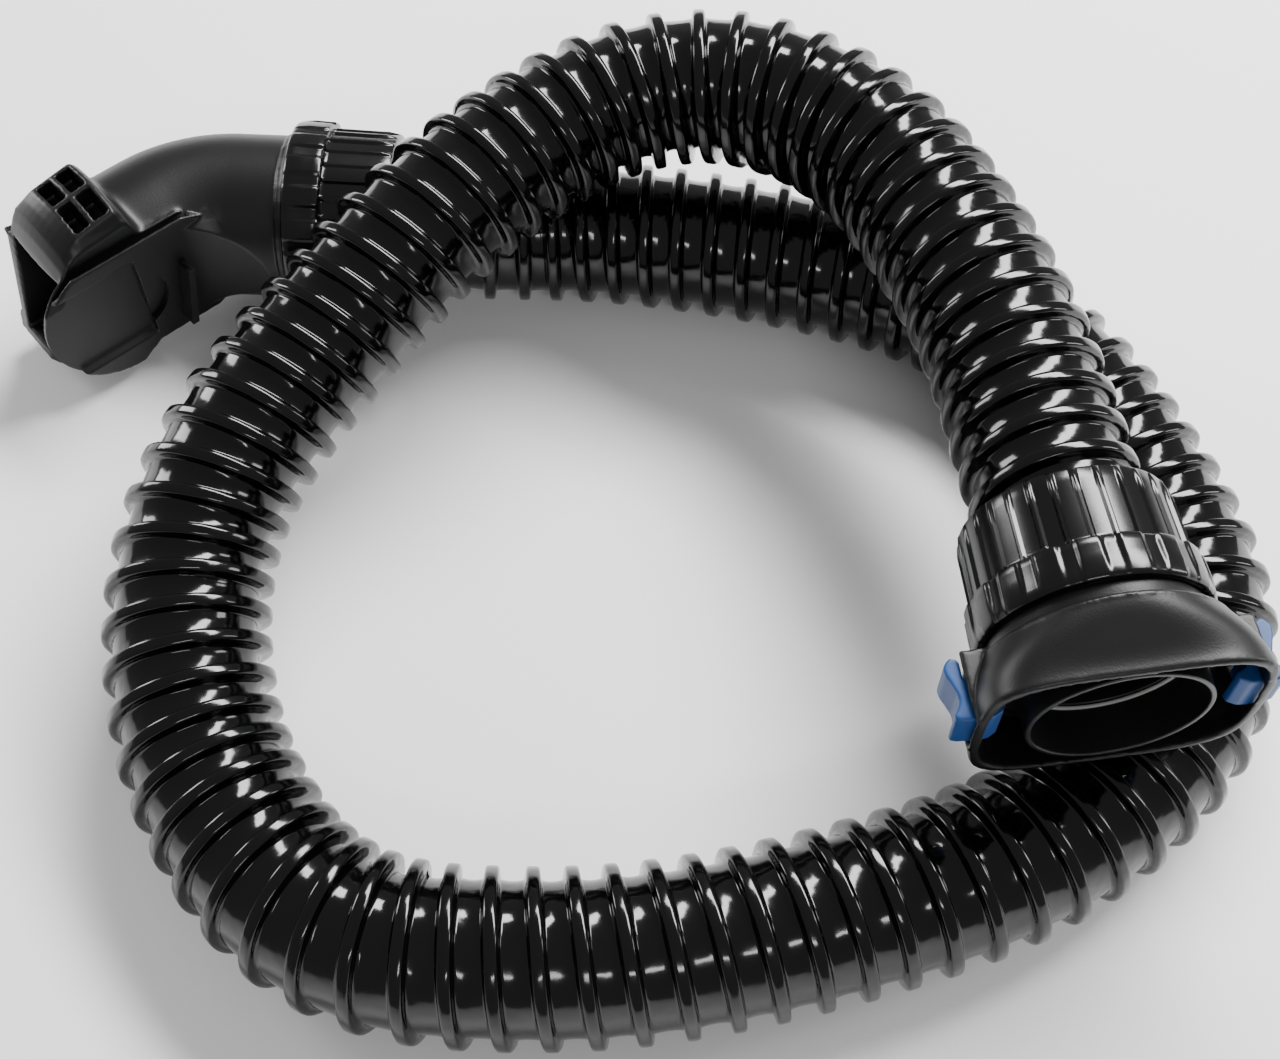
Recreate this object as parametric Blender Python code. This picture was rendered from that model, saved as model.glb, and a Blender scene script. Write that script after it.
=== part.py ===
"""Ribbed vacuum hose lying in a loop, with a latch coupling on one end and a swivel elbow on the other.

Each piece is one object. Lengths are in metres and +Z is up. Each end fitting is drawn in its own
frame: local Z runs along the fitting's axis, away from the hose, from the hose-side face of its nut.
"""

import math

import bmesh
import bpy
import numpy as np
from mathutils import Matrix, Vector

MM = 0.001
GAP = 0.3 * MM

# The hose.
HOSE_RADIUS = 24 * MM
HOSE_BORE = 19 * MM
ROUTE_STEP = 20 * MM
HOSE_DEPTH_IN_NUT = 16 * MM
# The hose's centre line, from the elbow end to the coupling end, in millimetres.
ROUTE_MM = [
    (-38, 89.6, 29.2),
    (-23, 91, 26.2),
    (-7, 92, 24.5),
    (12, 91.2, 24),
    (36, 88, 24),
    (86, 76.5, 24),
    (110, 68, 24),
    (150, 40.5, 24),
    (174, -2, 24),
    (185.5, -70, 24),
    (177, -91, 24),
    (162, -109, 24),
    (120, -136.5, 24),
    (86.5, -148, 24),
    (16, -162, 24),
    (-18, -162.5, 24),
    (-46, -158.5, 24),
    (-70, -145.5, 24),
    (-87, -126, 24.6),
    (-99, -104, 27),
    (-106, -78, 32),
    (-107, -50, 38),
    (-101.5, -27, 44),
    (-91, -6, 49.5),
    (-68, 25.5, 58.5),
    (-43, 54, 68.2),
    (-14, 81, 73.4),
    (17.5, 99.8, 76.8),
    (46, 102.6, 79.8),
    (74, 92, 82),
    (97, 70, 83),
    (113, 40, 82.8),
    (125, 8, 81.6),
    (132.2, -25, 79.4),
]

# Where the fittings sit: the middle of each nut's hose-side face, and the way its axis points.
COUPLING_FACE = Vector((136.9 * MM, -60.4 * MM, 78.3 * MM))
COUPLING_YAW = math.radians(7.5)
COUPLING_DROOP = math.radians(1.5)
COUPLING_ROLL = math.radians(1.6)
ELBOW_FACE = Vector((-57 * MM, 88.5 * MM, 33 * MM))
ELBOW_YAW = math.radians(3)

# The nut, the same on both ends. Lengths are along the axis from its hose-side face.
NUT_SMALL_RADII = (28.2 * MM, 29 * MM)
NUT_SMALL_LENGTH = 22 * MM
NUT_LARGE_RADII = (31 * MM, 31.6 * MM)
NUT_LENGTH = 34.2 * MM
NUT_MOUTH_RADIUS = 25.4 * MM
NUT_MOUTH_LENGTH = 4 * MM
NUT_GRIP_RADIUS = 27.1 * MM
NUT_SHOULDER = 23.5 * MM
NUT_CHAMBER_RADIUS = 29.5 * MM
SMALL_RIBS = 30
SMALL_RIB_HEIGHT = 0.7 * MM
LARGE_LOBES = 18
LARGE_LOBE_HEIGHT = 0.7 * MM
NUT_SEGMENTS = 90

# The stack inside each nut.
GRIP_RING = (6 * MM, 15 * MM)
GRIP_RING_RADII = (24.7 * MM, 26.7 * MM)
GRIP_RING_SLOT = 4 * MM
CUFF_FLANGE = (25.6 * MM, 27.6 * MM)
CUFF_FLANGE_RADIUS = 29 * MM
CUFF_PILOT_RADIUS = 21.5 * MM
CUFF_END = 33 * MM
THRUST_RING = (23.8 * MM, 25.3 * MM)
THRUST_RING_RADII = (24.6 * MM, 29.1 * MM)
GASKET = (27.9 * MM, 29.4 * MM)
GASKET_RADII = (22.2 * MM, 28.9 * MM)
SPIGOT_START = 29.7 * MM
SPIGOT_RADIUS = 29 * MM
SPIGOT_BORE = 22 * MM

# The coupling's pipe, its clip and seal, and the housing.
CLIP_RADII = (26.1 * MM, 28.4 * MM)
CLIP = (43.6 * MM, 44.8 * MM)
BORE_SEAL_RADII = (21.3 * MM, 22.4 * MM)
BORE_SEAL = (44.6 * MM, 46.6 * MM)
PIPE_SHOULDER = 38.9 * MM
PIPE_NECK_RADIUS = 27 * MM
PIPE_RADIUS = 24.2 * MM
PIPE_NECK_END = 46.5 * MM
PIPE_STEP = 44.3 * MM
PIPE_MOUTH_BORE = 22.7 * MM
PIPE_STEP_BORE = 21 * MM
HOUSING_WALL_END = 43 * MM
HOUSING_FRONT = 58.6 * MM
HOUSING_HOLE = 27.4 * MM
HOUSING_WALL = 2.3 * MM
# Outer sections: distance along the axis, half width, half height, and how square the oval is.
HOUSING_SECTIONS = [
    (39.2, 32.8, 32.8, 2.0),
    (40.0, 33.6, 33.6, 2.0),
    (44.0, 35.2, 32.4, 2.3),
    (48.5, 36.8, 30.2, 2.8),
    (53.5, 37.4, 28.4, 3.6),
    (58.0, 37.4, 27.4, 4.2),
    (58.6, 37.0, 27.0, 4.2),
]
EAR_OUTER = 38.2 * MM
EAR_HALF_HEIGHT = 9.6 * MM
EAR_START = 38.2 * MM
WINDOW_HALF_HEIGHT = 7.6 * MM
# The window that each lever sits in, in plan: distance from the axis and along it, in millimetres.
WINDOW_PLAN = [(34.6, 30), (48, 30), (48, 57.4), (28.2, 57.4), (28.2, 43.7), (34.6, 43.7)]

# The latch levers with their finger pads.
LEVER_HALF_HEIGHT = 7 * MM
LEVER_PIVOT = (36 * MM, 49 * MM)
PIN_RADIUS = 1.3 * MM
PIN_HOLE = 1.6 * MM
# The lever in plan: distance from the coupling's axis, distance along it, in millimetres.
LEVER_PLAN = [
    (41.6, 39.8),
    (42.6, 41.4),
    (42.4, 43.4),
    (41.4, 46.0),
    (40.5, 48.6),
    (40.5, 50.8),
    (41.4, 53.0),
    (42.6, 54.4),
    (42.2, 55.6),
    (40.8, 56.0),
    (36.4, 56.4),
    (32.6, 56.2),
    (30.0, 54.8),
    (29.6, 53.0),
    (32.2, 51.8),
    (33.6, 50.8),
    (33.6, 46.8),
    (38.2, 45.2),
    (38.2, 40.4),
    (38.9, 39.4),
    (40.4, 38.8),
]
SPRING_CENTRE = 42.6 * MM
SPRING_SPAN = (34.9 * MM, 37.9 * MM)
SPRING_RADIUS = 2.2 * MM
SPRING_WIRE = 0.35 * MM
SPRING_TURNS = 2

# The elbow: a tube that bends toward +X, then a hood between two cheeks.
ELBOW_BEND_AT = 68.6 * MM
ELBOW_ANGLE = math.radians(44)
ELBOW_BEND_RADIUS = 38 * MM
ELBOW_RADIUS = 26.8 * MM
BRANCH_RADIUS = 27.3 * MM
ELBOW_BORE = 22 * MM
ELBOW_COLLAR_END = 35.6 * MM
BRANCH_TUBE_END = 34 * MM
CHEEK_OUTER = 19.7 * MM
CHEEK_INNER = 16.2 * MM
DISC_CENTRE = (42 * MM, 0.0)
DISC_RADIUS = 26.8 * MM
CHEEK_TOP = 23.6 * MM
CHEEK_BOTTOM = -21.6 * MM
CROWN_RADIUS = 44 * MM
HOOD_HALF_WIDTH = 13.7 * MM
HOOD_SHOULDER = 30 * MM
HOOD_SHOULDER_SLOPE = 0.55
FLOOR_LIP = 66.5 * MM
FLOOR_LIP_NEAR = 52 * MM
# The hood's side view: distance along the branch, height above its axis, in millimetres.
HOOD_SIDE = [
    (24, -24.8),
    (58.2, 19.5),
    (57.2, 22.6),
    (55.4, 26.6),
    (53.0, 30.0),
    (50.0, 32.6),
    (46.8, 34.6),
    (32.0, 37.2),
    (30.6, 36.4),
    (28.6, 28.0),
    (24, 24.0),
]
MOUTH_SIDE = [
    (30, -20.5),
    (72, -20.5),
    (72, 16.0),
    (58.6, 19.6),
    (54.0, 19.0),
    (44.0, 20.5),
    (30, 20.5),
]
POCKET_ROWS_MM = [(33.2, 38.4), (40.4, 45.4)]
POCKET_COLUMNS_MM = [(-12.2, -1.0), (1.0, 12.2)]
POCKET_FLOORS_MM = [29.0, 27.0]
# The mark and the slot sunk into the near cheek.
CHEEK_SINK = 1.6 * MM
SLOT_MM = [(17.6, 7), (20, 7), (24.2, -16), (21.8, -16)]


def clear_scene():
    for obj in list(bpy.data.objects):
        bpy.data.objects.remove(obj, do_unlink=True)


def material(name, colour, roughness, metallic=0.0):
    mat = bpy.data.materials.new(name)
    mat.use_nodes = True
    shader = mat.node_tree.nodes["Principled BSDF"]
    shader.inputs["Base Color"].default_value = (*colour, 1.0)
    shader.inputs["Roughness"].default_value = roughness
    shader.inputs["Metallic"].default_value = metallic
    return mat


def frame(name, x_axis, z_axis, origin):
    """An empty whose local X and Z point along the two given directions."""
    z_axis = z_axis.normalized()
    x_axis = x_axis.normalized()
    y_axis = z_axis.cross(x_axis)
    turn = Matrix((x_axis, y_axis, z_axis)).transposed().to_4x4()
    empty = bpy.data.objects.new(name, None)
    empty.matrix_world = Matrix.Translation(origin) @ turn
    bpy.context.scene.collection.objects.link(empty)
    return empty


def add(name, mesh, mat, parent, place=None):
    obj = bpy.data.objects.new(name, mesh)
    if mat and not mesh.materials:
        mesh.materials.append(mat)
    bpy.context.scene.collection.objects.link(obj)
    obj.parent = parent
    if place is not None:
        obj.matrix_local = place
    return obj


def smooth(mesh, angle=35):
    mesh.shade_smooth()
    mesh.set_sharp_from_angle(angle=math.radians(angle))
    return mesh


def mesh_from(name, points, faces, angle=35):
    mesh = bpy.data.meshes.new(name)
    mesh.from_pydata([tuple(p) for p in points], [], faces)
    work = bmesh.new()
    work.from_mesh(mesh)
    bmesh.ops.recalc_face_normals(work, faces=work.faces)
    work.to_mesh(mesh)
    work.free()
    return smooth(mesh, angle)


def helper(obj):
    obj.hide_render = True
    obj.display_type = "WIRE"
    return obj


def boolean(obj, other, operation="DIFFERENCE"):
    step = obj.modifiers.new(other.name, "BOOLEAN")
    step.operation = operation
    step.solver = "EXACT"
    step.object = helper(other)


def ring_faces(rings, segments, closed_profile):
    """Quads between successive rings of points."""
    faces = []
    last = rings if closed_profile else rings - 1
    for i in range(last):
        below = i * segments
        above = ((i + 1) % rings) * segments
        for j in range(segments):
            k = (j + 1) % segments
            faces.append((below + j, below + k, above + k, above + j))
    return faces


def turned(name, profile, segments=32, radius_at=None):
    """A closed profile of (radius, distance) turned about local Z."""
    points = []
    for index, (radius, distance) in enumerate(profile):
        for j in range(segments):
            angle = 2 * math.pi * j / segments
            r = radius + (radius_at(index, angle) if radius_at else 0.0)
            points.append((r * math.cos(angle), r * math.sin(angle), distance))
    return mesh_from(name, points, ring_faces(len(profile), segments, True))


def washer(name, radii, span, segments=32):
    inner, outer = radii
    start, end = span
    return turned(name, [(inner, start), (outer, start), (outer, end), (inner, end)], segments)


def prism(name, outline, low, high, lift=None):
    """An outline of (x, y) points stood up from low to high along local Z."""
    count = len(outline)
    points = [(x, y, low) for x, y in outline] + [(x, y, high) for x, y in outline]
    if lift:
        points = [lift(p) for p in points]
    faces = [tuple(range(count))[::-1], tuple(range(count, 2 * count))]
    faces += [(i, (i + 1) % count, count + (i + 1) % count, count + i) for i in range(count)]
    return mesh_from(name, points, faces)


def flat(point):
    """Lays a plan drawn in X and Y into X and Z."""
    return (point[0], point[2], point[1])


def box(name, low, high):
    outline = [(low[0], low[1]), (high[0], low[1]), (high[0], high[1]), (low[0], high[1])]
    return prism(name, outline, low[2], high[2])


def loft(name, sections):
    """A solid skinned over sections, each a list of the same number of points."""
    count = len(sections[0])
    points = [p for section in sections for p in section]
    faces = ring_faces(len(sections), count, False)
    faces.append(tuple(range(count))[::-1])
    faces.append(tuple(range((len(sections) - 1) * count, len(sections) * count)))
    return mesh_from(name, points, faces)


def natural_spline(points, step):
    """Points a step apart along a natural cubic spline through the given points."""
    knots = np.array(points, float)
    chord = np.linalg.norm(np.diff(knots, axis=0), axis=1)
    at = np.concatenate([[0.0], np.cumsum(chord)])
    count = len(knots)
    lhs = np.zeros((count, count))
    rhs = np.zeros((count, 3))
    lhs[0, 0] = lhs[-1, -1] = 1.0
    for i in range(1, count - 1):
        before, after = chord[i - 1], chord[i]
        lhs[i, i - 1 : i + 2] = before, 2 * (before + after), after
        rhs[i] = 6 * ((knots[i + 1] - knots[i]) / after - (knots[i] - knots[i - 1]) / before)
    bend = np.linalg.solve(lhs, rhs)
    fine = np.linspace(0, at[-1], 4000)
    part = np.clip(np.searchsorted(at, fine, side="right") - 1, 0, count - 2)
    width = chord[part][:, None]
    right = (fine - at[part])[:, None]
    left = width - right
    curve = bend[part] * left**3 / (6 * width) + bend[part + 1] * right**3 / (6 * width)
    curve += (knots[part] / width - bend[part] * width / 6) * left
    curve += (knots[part + 1] / width - bend[part + 1] * width / 6) * right
    length = np.concatenate([[0.0], np.cumsum(np.linalg.norm(np.diff(curve, axis=0), axis=1))])
    wanted = np.linspace(0, length[-1], 1 + round(length[-1] / step))
    return np.array([np.interp(wanted, length, curve[:, k]) for k in range(3)]).T


def hose_route(coupling, elbow):
    """The whole centre line: straight inside each nut, and through the route between them."""
    elbow_in = elbow.matrix_world @ Vector((0, 0, HOSE_DEPTH_IN_NUT))
    elbow_mid = elbow.matrix_world @ Vector((0, 0, 0.3 * HOSE_DEPTH_IN_NUT))
    elbow_out = elbow.matrix_world @ Vector((0, 0, -6 * MM))
    coupling_out = coupling.matrix_world @ Vector((0, 0, -6 * MM))
    coupling_mid = coupling.matrix_world @ Vector((0, 0, 0.3 * HOSE_DEPTH_IN_NUT))
    coupling_in = coupling.matrix_world @ Vector((0, 0, HOSE_DEPTH_IN_NUT))
    middle = [tuple(c * MM for c in p) for p in ROUTE_MM]
    points = [elbow_in, elbow_mid, elbow_out, *middle, coupling_out, coupling_mid, coupling_in]
    return natural_spline(points, ROUTE_STEP)


def hose(route, mat):
    curve = bpy.data.curves.new("hose_tube", "CURVE")
    curve.dimensions = "3D"
    curve.bevel_depth = HOSE_RADIUS
    curve.bevel_resolution = 4
    curve.use_fill_caps = True
    curve.twist_mode = "MINIMUM"
    line = curve.splines.new("POLY")
    line.points.add(len(route) - 1)
    for point, place in zip(line.points, route):
        point.co = (*place, 1.0)
    curve.materials.append(mat)
    return add("hose_tube", curve, None, None)


def nut_profile():
    step = NUT_SMALL_LENGTH
    end = NUT_LENGTH
    return [
        (NUT_MOUTH_RADIUS, 0.0),
        (NUT_SMALL_RADII[0] - 0.8 * MM, 0.0),
        (NUT_SMALL_RADII[0], 1.2 * MM),
        (NUT_SMALL_RADII[1], step),
        (NUT_LARGE_RADII[0] - 0.6 * MM, step),
        (NUT_LARGE_RADII[0], step + 0.8 * MM),
        (NUT_LARGE_RADII[1], end - 1.5 * MM),
        (NUT_LARGE_RADII[1] - 0.9 * MM, end),
        (NUT_CHAMBER_RADIUS, end),
        (NUT_CHAMBER_RADIUS, NUT_SHOULDER),
        (NUT_GRIP_RADIUS, NUT_SHOULDER),
        (NUT_GRIP_RADIUS, NUT_MOUTH_LENGTH),
        (NUT_MOUTH_RADIUS, NUT_MOUTH_LENGTH),
    ]


def nut_grip(index, angle):
    """The small tier's fine ribs and the large tier's broad lobes."""
    step = round(angle / (2 * math.pi) * NUT_SEGMENTS)
    rib_steps = NUT_SEGMENTS // SMALL_RIBS
    lobe_steps = NUT_SEGMENTS // LARGE_LOBES
    if index in (2, 3) and step % rib_steps == 0:
        return SMALL_RIB_HEIGHT
    if index in (4, 5, 6) and step % lobe_steps <= lobe_steps // 2:
        return LARGE_LOBE_HEIGHT
    return 0.0


def cuff_profile():
    start = HOSE_DEPTH_IN_NUT + GAP
    return [
        (HOSE_BORE, start),
        (HOSE_RADIUS - 0.4 * MM, start),
        (HOSE_RADIUS - 0.1 * MM, start + 0.6 * MM),
        (HOSE_RADIUS - 0.1 * MM, CUFF_FLANGE[0]),
        (CUFF_FLANGE_RADIUS, CUFF_FLANGE[0]),
        (CUFF_FLANGE_RADIUS, CUFF_FLANGE[1]),
        (CUFF_PILOT_RADIUS, CUFF_FLANGE[1]),
        (CUFF_PILOT_RADIUS, CUFF_END),
        (HOSE_BORE, CUFF_END),
    ]


def split_ring(name, radii, span, slot, segments=32):
    """A ring with a slot cut through it, so it can close on the hose."""
    inner, outer = radii
    half = 0.5 * slot / inner
    angles = [half + (2 * math.pi - 2 * half) * j / segments for j in range(segments + 1)]
    corners = [(inner, span[0]), (outer, span[0]), (outer, span[1]), (inner, span[1])]
    sections = []
    for angle in angles:
        cos, sin = math.cos(angle), math.sin(angle)
        sections.append([(r * cos, r * sin, z) for r, z in corners])
    return loft(name, sections)


def end_stack(prefix, base, mats, nut_mesh):
    """The nut and the pieces under it, the same on both ends."""
    add(prefix + "_nut", nut_mesh, mats["gloss"], base)
    add(prefix + "_cuff", turned(prefix + "_cuff", cuff_profile()), mats["satin"], base)
    add(
        prefix + "_grip_ring",
        split_ring(prefix + "_grip_ring", GRIP_RING_RADII, GRIP_RING, GRIP_RING_SLOT),
        mats["ring"],
        base,
    )
    add(
        prefix + "_thrust_ring",
        washer(prefix + "_thrust_ring", THRUST_RING_RADII, THRUST_RING),
        mats["ring"],
        base,
    )
    add(prefix + "_gasket", washer(prefix + "_gasket", GASKET_RADII, GASKET), mats["rubber"], base)


def coupling_pipe(base, mat):
    groove = (43.3 * MM, 45.1 * MM)
    profile = [
        (SPIGOT_BORE, SPIGOT_START),
        (SPIGOT_RADIUS - 0.6 * MM, SPIGOT_START),
        (SPIGOT_RADIUS, SPIGOT_START + 0.8 * MM),
        (SPIGOT_RADIUS, PIPE_SHOULDER),
        (PIPE_NECK_RADIUS, PIPE_SHOULDER),
        (PIPE_NECK_RADIUS, groove[0]),
        (PIPE_NECK_RADIUS - 1.2 * MM, groove[0]),
        (PIPE_NECK_RADIUS - 1.2 * MM, groove[1]),
        (PIPE_NECK_RADIUS, groove[1]),
        (PIPE_NECK_RADIUS, PIPE_NECK_END),
        (PIPE_RADIUS, PIPE_NECK_END + 1.5 * MM),
        (PIPE_RADIUS, HOUSING_FRONT - 1.2 * MM),
        (PIPE_RADIUS - 0.5 * MM, HOUSING_FRONT - 0.5 * MM),
        (PIPE_MOUTH_BORE, HOUSING_FRONT - 0.5 * MM),
        (PIPE_MOUTH_BORE, PIPE_STEP),
        (PIPE_STEP_BORE, PIPE_STEP),
        (PIPE_STEP_BORE, PIPE_STEP - 6 * MM),
        (SPIGOT_BORE, PIPE_STEP - 7 * MM),
    ]
    return add("coupling_pipe", turned("coupling_pipe", profile, 40), mat, base)


def oval(half_width, half_height, squareness, distance, count=40):
    power = 2 / squareness
    section = []
    for j in range(count):
        angle = 2 * math.pi * j / count
        cos, sin = math.cos(angle), math.sin(angle)
        x = math.copysign(half_width * abs(cos) ** power, cos)
        y = math.copysign(half_height * abs(sin) ** power, sin)
        section.append((x, y, distance))
    return section


def housing_section(distance, shrink=0.0):
    """The housing's outer oval at a distance along the axis, or one inside it by the wall."""
    marks = [s[0] * MM for s in HOUSING_SECTIONS]
    width, height, square = (
        float(np.interp(distance, marks, [s[k] for s in HOUSING_SECTIONS])) for k in (1, 2, 3)
    )
    return oval(width * MM - shrink, height * MM - shrink, square, distance)


def coupling_housing(base, mat):
    outer = [housing_section(s[0] * MM) for s in HOUSING_SECTIONS]
    shell = add("coupling_housing", loft("coupling_housing", outer), mat, base)
    for side in (-1, 1):
        near, far = sorted((side * 30 * MM, side * EAR_OUTER))
        low = (near, -EAR_HALF_HEIGHT, EAR_START)
        high = (far, EAR_HALF_HEIGHT, HOUSING_FRONT - 0.4 * MM)
        ear = add(f"housing_ear_{side}", box("ear", low, high), None, base)
        boolean(shell, ear, "UNION")
    for side in (-1, 1):
        window = [(side * x * MM, z * MM) for x, z in WINDOW_PLAN]
        mesh = prism("window", window, -WINDOW_HALF_HEIGHT, WINDOW_HALF_HEIGHT, flat)
        boolean(shell, add(f"housing_window_{side}", mesh, None, base))
        boolean(shell, pin_hole(side, base, 9 * MM))
    inner_marks = [HOUSING_WALL_END, 46.5 * MM, 50 * MM, 54 * MM, 60 * MM]
    inner = [housing_section(min(m, 58 * MM), HOUSING_WALL) for m in inner_marks]
    inner[-1] = [(x, y, 60 * MM) for x, y, _ in inner[-1]]
    boolean(shell, add("housing_cavity", loft("cavity", inner), None, base))
    hole = turned_solid("housing_hole", HOUSING_HOLE, 30 * MM, 44 * MM)
    boolean(shell, add("housing_hole", hole, None, base))
    return shell


def turned_solid(name, radius, start, end, segments=40):
    sections = []
    for z in (start, end):
        ring = [2 * math.pi * j / segments for j in range(segments)]
        sections.append([(radius * math.cos(a), radius * math.sin(a), z) for a in ring])
    return loft(name, sections)


def pin_place(side):
    """Local Z along the pin, which stands along the coupling's Y."""
    across, along = LEVER_PIVOT
    return Matrix.Translation((side * across, 0, along)) @ Matrix.Rotation(-math.pi / 2, 4, "X")


def pin_hole(side, parent, half_length):
    mesh = turned_solid("pin_hole", PIN_HOLE, -half_length, half_length, 12)
    return add(f"pin_hole_{side}_{half_length:.3f}", mesh, None, parent, pin_place(side))


def lever(side, base, mat):
    name = "latch_lever_" + ("right" if side > 0 else "left")
    outline = [(side * x * MM, y * MM) for x, y in LEVER_PLAN]
    mesh = prism(name, outline, -LEVER_HALF_HEIGHT, LEVER_HALF_HEIGHT, flat)
    for vertex in mesh.vertices:
        vertex.co -= Vector((side * LEVER_PIVOT[0], 0, LEVER_PIVOT[1]))
    place = Matrix.Translation((side * LEVER_PIVOT[0], 0, LEVER_PIVOT[1]))
    arm = add(name, mesh, mat, base, place)
    boolean(arm, pin_hole(side, base, 12 * MM))
    return arm


def spring(side, base, mat):
    """A short coil that pushes the rear of the lever outward."""
    name = "latch_spring_" + ("right" if side > 0 else "left")
    start, end = SPRING_SPAN
    start += SPRING_WIRE
    end -= SPRING_WIRE
    steps = 10 * SPRING_TURNS
    sections = []
    for i in range(steps + 1):
        angle = 2 * math.pi * SPRING_TURNS * i / steps
        out = Vector((0, math.cos(angle), math.sin(angle)))
        along = Vector((side, 0, 0))
        centre = out * SPRING_RADIUS + along * (start + (end - start) * i / steps)
        section = []
        for k in range(5):
            turn = 2 * math.pi * k / 5
            section.append(centre + SPRING_WIRE * (out * math.cos(turn) + along * math.sin(turn)))
        sections.append(section)
    mesh = loft(name, sections)
    return add(name, mesh, mat, base, Matrix.Translation((0, 0, SPRING_CENTRE)))


def round_section(centre, x_axis, radius, count=32):
    y_axis = Vector((0, 1, 0))
    section = []
    for j in range(count):
        angle = 2 * math.pi * j / count
        section.append(centre + radius * (x_axis * math.cos(angle) + y_axis * math.sin(angle)))
    return section


def elbow_line(start, branch_end, radius, end_radius, steps=6):
    """Round sections along the elbow: straight, round the bend, and along the branch."""
    reach = ELBOW_BEND_RADIUS * math.tan(ELBOW_ANGLE / 2)
    centre = Vector((ELBOW_BEND_RADIUS, 0, ELBOW_BEND_AT - reach))
    sections = [round_section(Vector((0, 0, start)), Vector((1, 0, 0)), radius)]
    for i in range(steps + 1):
        angle = ELBOW_ANGLE * i / steps
        inward = Vector((math.cos(angle), 0, -math.sin(angle)))
        size = radius + (end_radius - radius) * i / steps
        place = centre - ELBOW_BEND_RADIUS * inward
        sections.append(round_section(place, inward, size))
    across = Vector((math.cos(ELBOW_ANGLE), 0, -math.sin(ELBOW_ANGLE)))
    along = Vector((math.sin(ELBOW_ANGLE), 0, math.cos(ELBOW_ANGLE)))
    end = Vector((0, 0, ELBOW_BEND_AT)) + along * branch_end
    sections.append(round_section(end, across, end_radius))
    return sections


def branch_matrix():
    """The branch's frame inside the elbow's: Z along the branch, X toward the near cheek."""
    turn = Matrix.Rotation(ELBOW_ANGLE, 4, "Y")
    return Matrix.Translation((0, 0, ELBOW_BEND_AT)) @ turn


def side_prism(name, outline, low, high):
    """A side view of (along the branch, height) points, spread across the branch."""
    return prism(name, [(a, h) for a, h in outline], low, high, lambda p: (p[2], p[1], p[0]))


def hood(name):
    """The hood: its side view across the branch, crowned on top, its floor cut back on the near side."""
    start, *roof = [(a * MM, h * MM) for a, h in HOOD_SIDE]
    half = [HOOD_HALF_WIDTH * k / 4 for k in range(1, 5)] + [CHEEK_INNER]
    sections = []
    for x in [-x for x in reversed(half)] + [0.0] + half:
        crown = CROWN_RADIUS - math.sqrt(CROWN_RADIUS**2 - x**2)
        slope = HOOD_SHOULDER_SLOPE if abs(x) > HOOD_HALF_WIDTH else 0.0
        near = max(0.0, x) / CHEEK_INNER
        lip = FLOOR_LIP + (FLOOR_LIP_NEAR - FLOOR_LIP) * near**1.5
        section = [(x, start[1], start[0]), (x, start[1], lip)]
        for along, height in roof:
            drop = crown + slope * max(0.0, height - HOOD_SHOULDER)
            section.append((x, height - drop, along))
        sections.append(section)
    return loft(name, sections)


def disc_outline(centre, radius, start, end, count):
    return [
        (
            centre[0] + radius * math.cos(start + (end - start) * i / count),
            centre[1] + radius * math.sin(start + (end - start) * i / count),
        )
        for i in range(count + 1)
    ]


def cheek_outline():
    """A plate along the branch that ends in a round disc."""
    top = math.asin(CHEEK_TOP / DISC_RADIUS)
    outline = [(4 * MM, CHEEK_BOTTOM + 3 * MM), (10 * MM, CHEEK_BOTTOM), (34 * MM, CHEEK_BOTTOM)]
    outline += disc_outline(DISC_CENTRE, DISC_RADIUS, -math.pi / 2, top, 24)
    outline += [(14 * MM, CHEEK_TOP), (5 * MM, CHEEK_TOP - 4 * MM)]
    return outline


def far_cheek_outline():
    """The far side's plate, which ends in a straight mouth edge instead of a disc."""
    lower = [(4, -18.6), (10, -21.6), (38, -21.6), (60, -24.6), (66.3, -24.6)]
    upper = [(58.2, 18.6), (30, 17), (5, 16)]
    return [(a * MM, h * MM) for a, h in lower + upper]


def crescent_outline():
    outer = disc_outline((38.5 * MM, 0), 12.5 * MM, math.radians(154), math.radians(317), 14)
    inner_centre = (46.6 * MM, 11 * MM)
    inner = disc_outline(inner_centre, 19.5 * MM, math.radians(271), math.radians(198), 8)
    return outer + inner


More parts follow.
